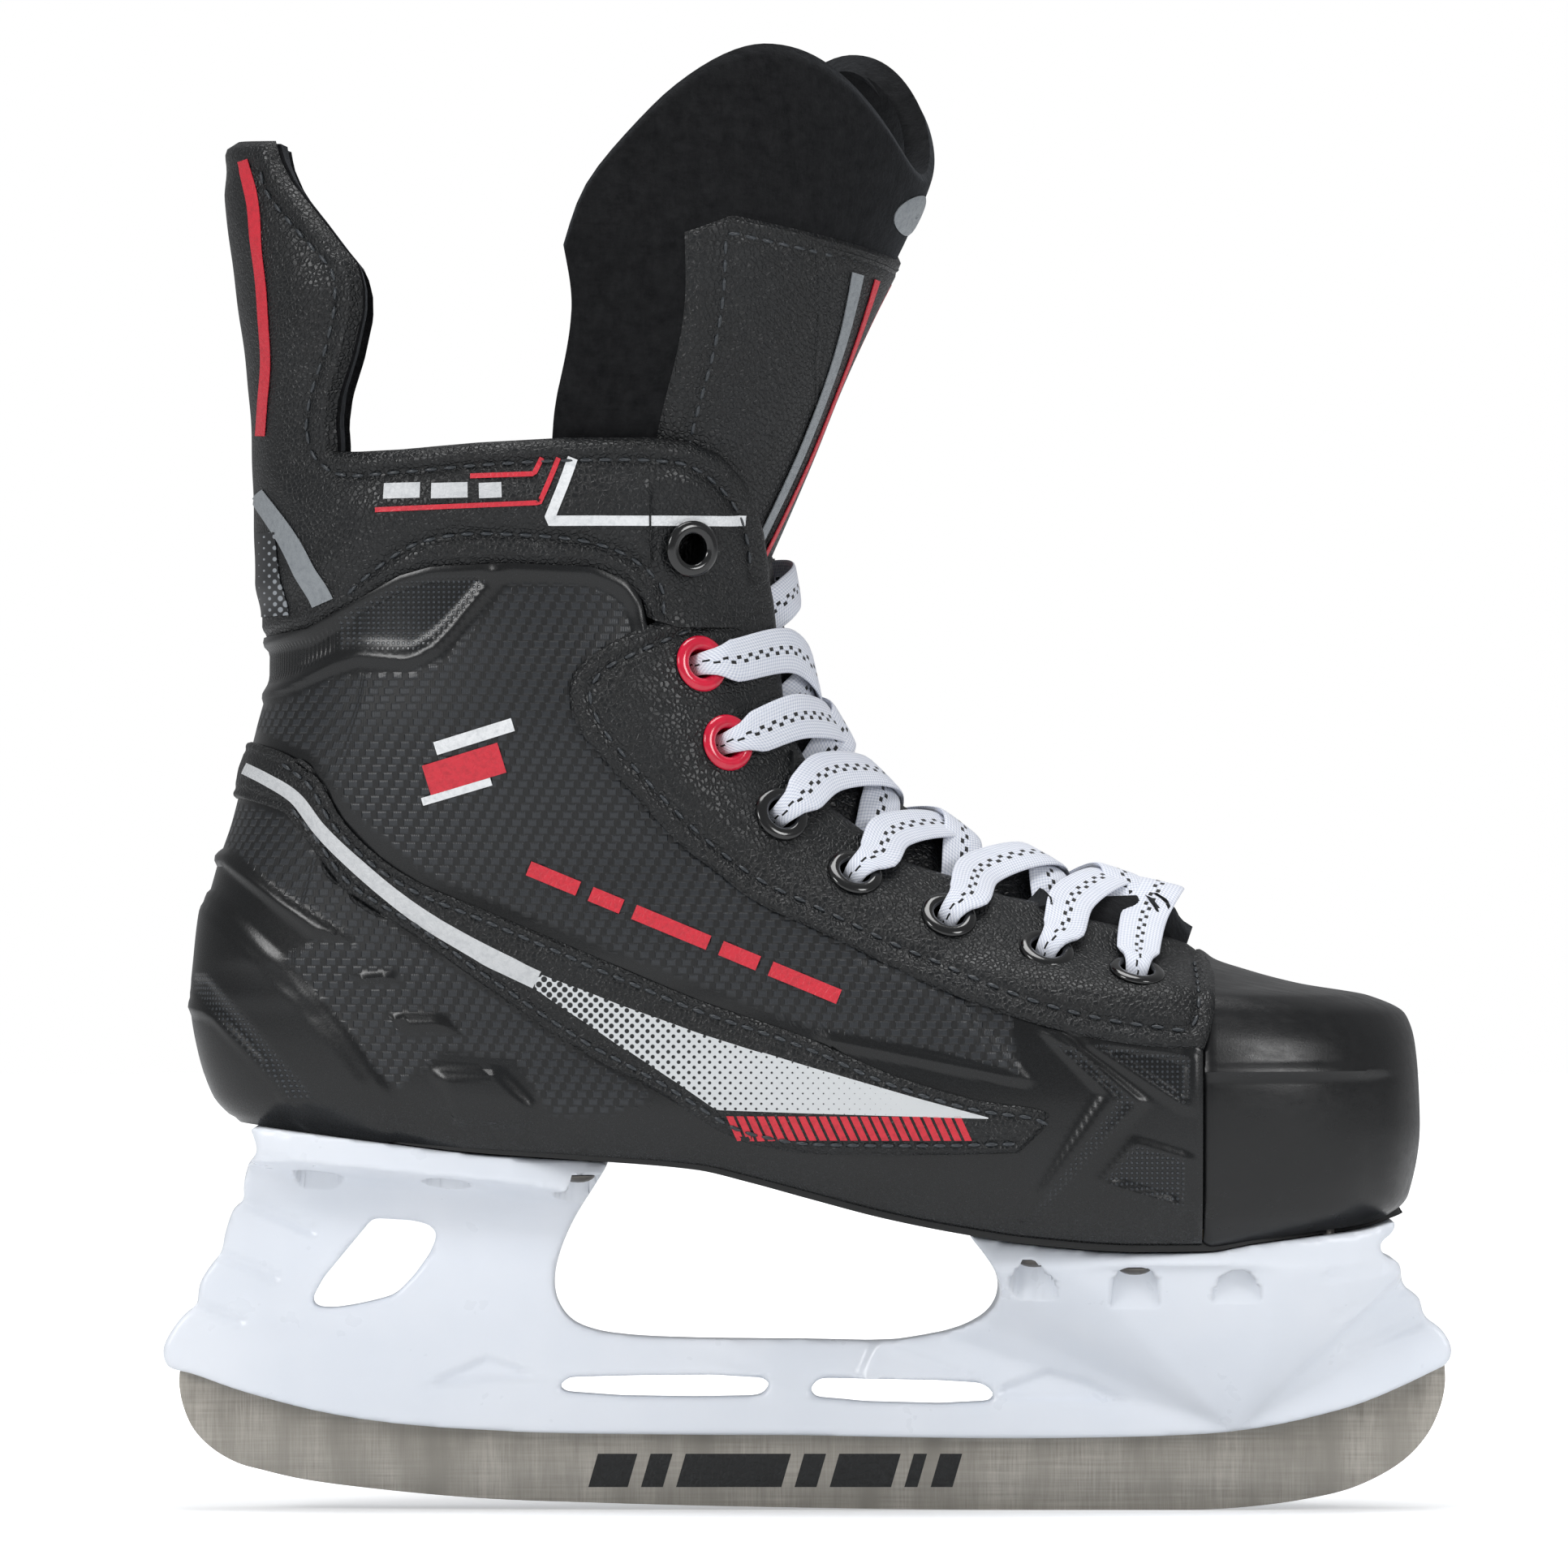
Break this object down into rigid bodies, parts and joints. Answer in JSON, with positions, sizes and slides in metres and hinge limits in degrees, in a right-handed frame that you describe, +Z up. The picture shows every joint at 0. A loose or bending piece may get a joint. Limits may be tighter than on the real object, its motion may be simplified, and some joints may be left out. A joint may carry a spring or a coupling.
{
  "type": "ice hockey skate",
  "caption": "Right-foot laced hockey skate: moulded black boot with a felt tongue and tendon guard, on a white plastic holder with a steel runner.",
  "frame": {"origin": "on the ice under the middle of the blade", "axes": "+X towards the toe, +Z up, +Y towards the inner (medial) side of the foot"},
  "size_m": [0.2934, 0.1115, 0.3326],
  "materials": {
    "holder_plastic": "moulded white nylon, semi-gloss",
    "runner_steel": "ground and brushed along its length",
    "bolt_steel": "zinc-plated",
    "rivet_steel": "dark blued steel heads",
    "sole_rubber": "moulded black plastic sole",
    "sole_board": "pressed fibre board",
    "footbed_foam": "black foam with a cloth top",
    "shell_plastic": "moulded black plastic, twill texture and gloss zones",
    "toe_plastic": "moulded black plastic, satin",
    "leather": "black grained synthetic leather",
    "felt": "black needled felt",
    "red_enamel": "red enamelled steel",
    "black_enamel": "gloss black enamelled steel",
    "lace": "flat woven white lace with a black tracer",
    "aglet": "clear plastic sleeve",
    "tie": "black hook-and-loop band"
  },
  "bodies": {
    "boot": {"blade_holder": "holder_plastic", "runner": "runner_steel", "runner_bolt_rear": "bolt_steel", "runner_bolt_front": "bolt_steel", "outsole": "sole_rubber", "insole_board": "sole_board", "footbed": "footbed_foam", "toe_cap": "toe_plastic", "boot_shell": "shell_plastic", "ankle_collar": "leather", "boot_lining": "felt", "toe_lining": "felt", "eyestay_lateral": "leather", "eyestay_medial": "leather", "side_strip_lateral": "leather", "side_strip_medial": "leather", "tongue_lower": "felt", "lacing": "lace", "lace_end_lateral": "lace", "lace_end_medial": "lace", "lace_hank": "lace", "lace_tie": "tie", "aglet_lateral": "aglet", "aglet_medial": "aglet", "rivet_lateral_1": "rivet_steel", "rivet_lateral_2": "rivet_steel", "rivet_lateral_3": "rivet_steel", "rivet_lateral_4": "rivet_steel", "rivet_lateral_5": "rivet_steel", "rivet_lateral_6": "rivet_steel", "rivet_lateral_7": "rivet_steel", "eyelet_lateral_1": "black_enamel", "eyelet_lateral_2": "red_enamel", "eyelet_lateral_3": "red_enamel", "eyelet_lateral_4": "black_enamel", "eyelet_lateral_5": "black_enamel", "eyelet_lateral_6": "black_enamel", "eyelet_lateral_7": "black_enamel", "eyelet_lateral_8": "black_enamel", "rivet_medial_1": "rivet_steel", "rivet_medial_2": "rivet_steel", "rivet_medial_3": "rivet_steel", "rivet_medial_4": "rivet_steel", "rivet_medial_5": "rivet_steel", "rivet_medial_6": "rivet_steel", "rivet_medial_7": "rivet_steel", "eyelet_medial_1": "black_enamel", "eyelet_medial_2": "red_enamel", "eyelet_medial_3": "red_enamel", "eyelet_medial_4": "black_enamel", "eyelet_medial_5": "black_enamel", "eyelet_medial_6": "black_enamel", "eyelet_medial_7": "black_enamel", "eyelet_medial_8": "black_enamel"},
    "tongue_top": {"tongue_upper": "felt", "tongue_panel": "leather"},
    "guard_flap": {"tendon_guard": "leather", "tendon_guard_lining": "felt"}
  },
  "joints": [
    {"name": "tongue_flex", "type": "hinge", "parent": "boot", "child": "tongue_top", "pos_m": [-0.012, 0, 0.216], "axis": [0, 1, 0], "range_deg": [0, 25], "stiffness_Nm_per_rad": 1},
    {"name": "tendon_guard_flex", "type": "hinge", "parent": "boot", "child": "guard_flap", "pos_m": [-0.1246, 0, 0.2403], "axis": [0, -1, 0], "range_deg": [0, 18], "stiffness_Nm_per_rad": 2}
  ]
}
